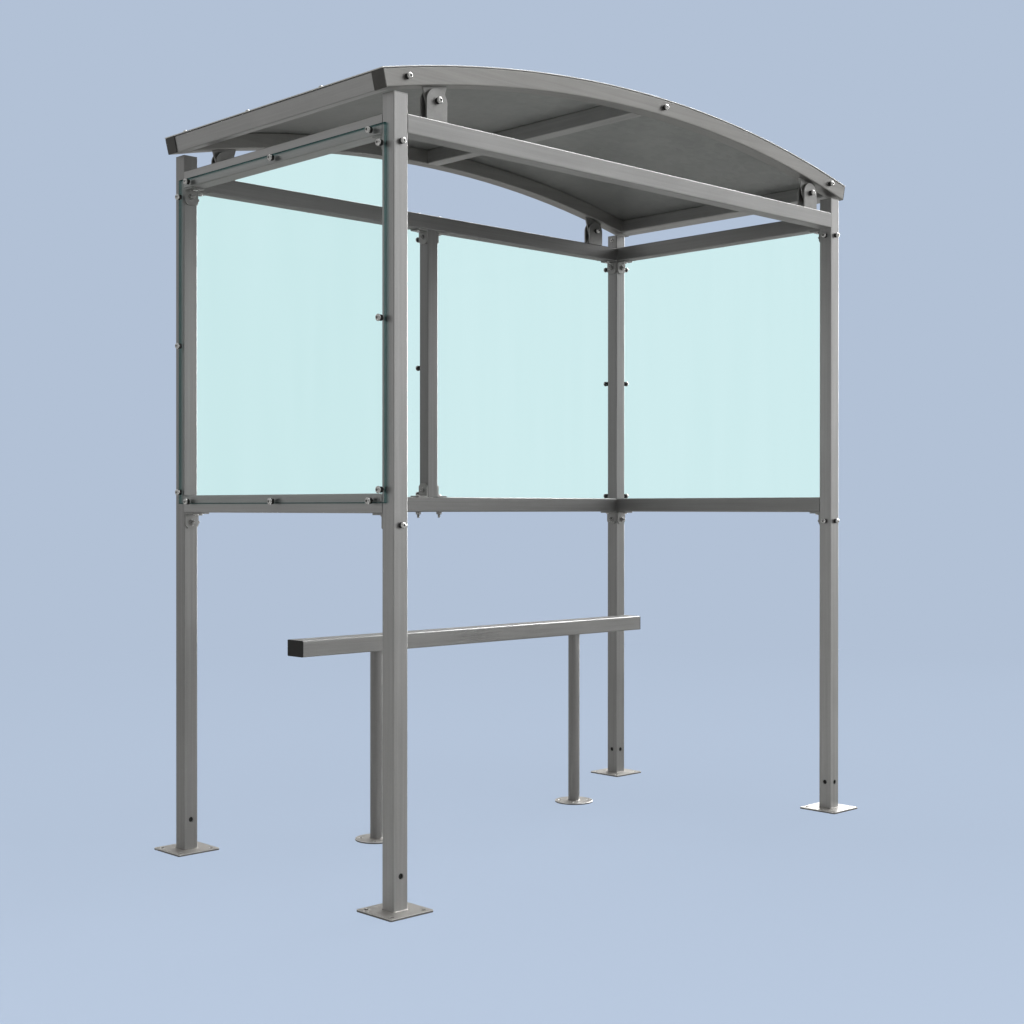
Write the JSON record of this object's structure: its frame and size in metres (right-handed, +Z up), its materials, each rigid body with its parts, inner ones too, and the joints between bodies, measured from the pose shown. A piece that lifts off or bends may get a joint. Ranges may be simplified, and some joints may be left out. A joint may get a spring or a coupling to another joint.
{
  "type": "smoking shelter",
  "caption": "Free-standing smoking shelter: square-tube steel frame open at the front, glass on three sides, curved sheet roof and a perch rail.",
  "frame": {"origin": "on the floor at the centre of the footprint", "axes": "+X along the long side to the right seen from the open front, -Y towards the open front, +Z up"},
  "size_m": [2.19, 1.19, 2.3952],
  "materials": {
    "frame_tube": "satin",
    "bracket": "satin",
    "foot_plate": "semi_gloss",
    "roof_sheet": "satin",
    "glazing": "gloss",
    "end_caps": "matte",
    "fixings": "gloss",
    "spacers": "matte"
  },
  "bodies": {
    "root": {"post_front_left": "frame_tube", "post_front_right": "frame_tube", "post_back_left": "frame_tube", "post_back_right": "frame_tube", "base_plate_front_left": "foot_plate", "base_plate_front_right": "foot_plate", "base_plate_back_left": "foot_plate", "base_plate_back_right": "foot_plate", "post_top_caps": "frame_tube", "front_header": "frame_tube", "back_top_rail": "frame_tube", "back_low_rail": "frame_tube", "left_top_rail": "frame_tube", "left_low_rail": "frame_tube", "right_top_rail": "frame_tube", "right_low_rail": "frame_tube", "back_mullion": "frame_tube", "cleats_mullion": "bracket", "cleats_left": "bracket", "cleats_right": "bracket", "cleats_back": "bracket", "glass_left": "glazing", "glass_right": "glazing", "glass_back_left": "glazing", "glass_back_right": "glazing", "roof_arch_front": "frame_tube", "roof_arch_back": "frame_tube", "roof_beam_left": "frame_tube", "roof_beam_right": "frame_tube", "roof_beam_centre": "frame_tube", "roof_sheet": "roof_sheet", "arch_end_caps": "end_caps", "roof_lugs_lower": "bracket", "roof_lugs_upper": "bracket", "lug_spacers": "spacers", "perch_rail": "frame_tube", "perch_end_caps": "end_caps", "perch_post_left": "frame_tube", "perch_post_right": "frame_tube", "perch_foot_left": "foot_plate", "perch_foot_right": "foot_plate"}
  },
  "joints": []
}
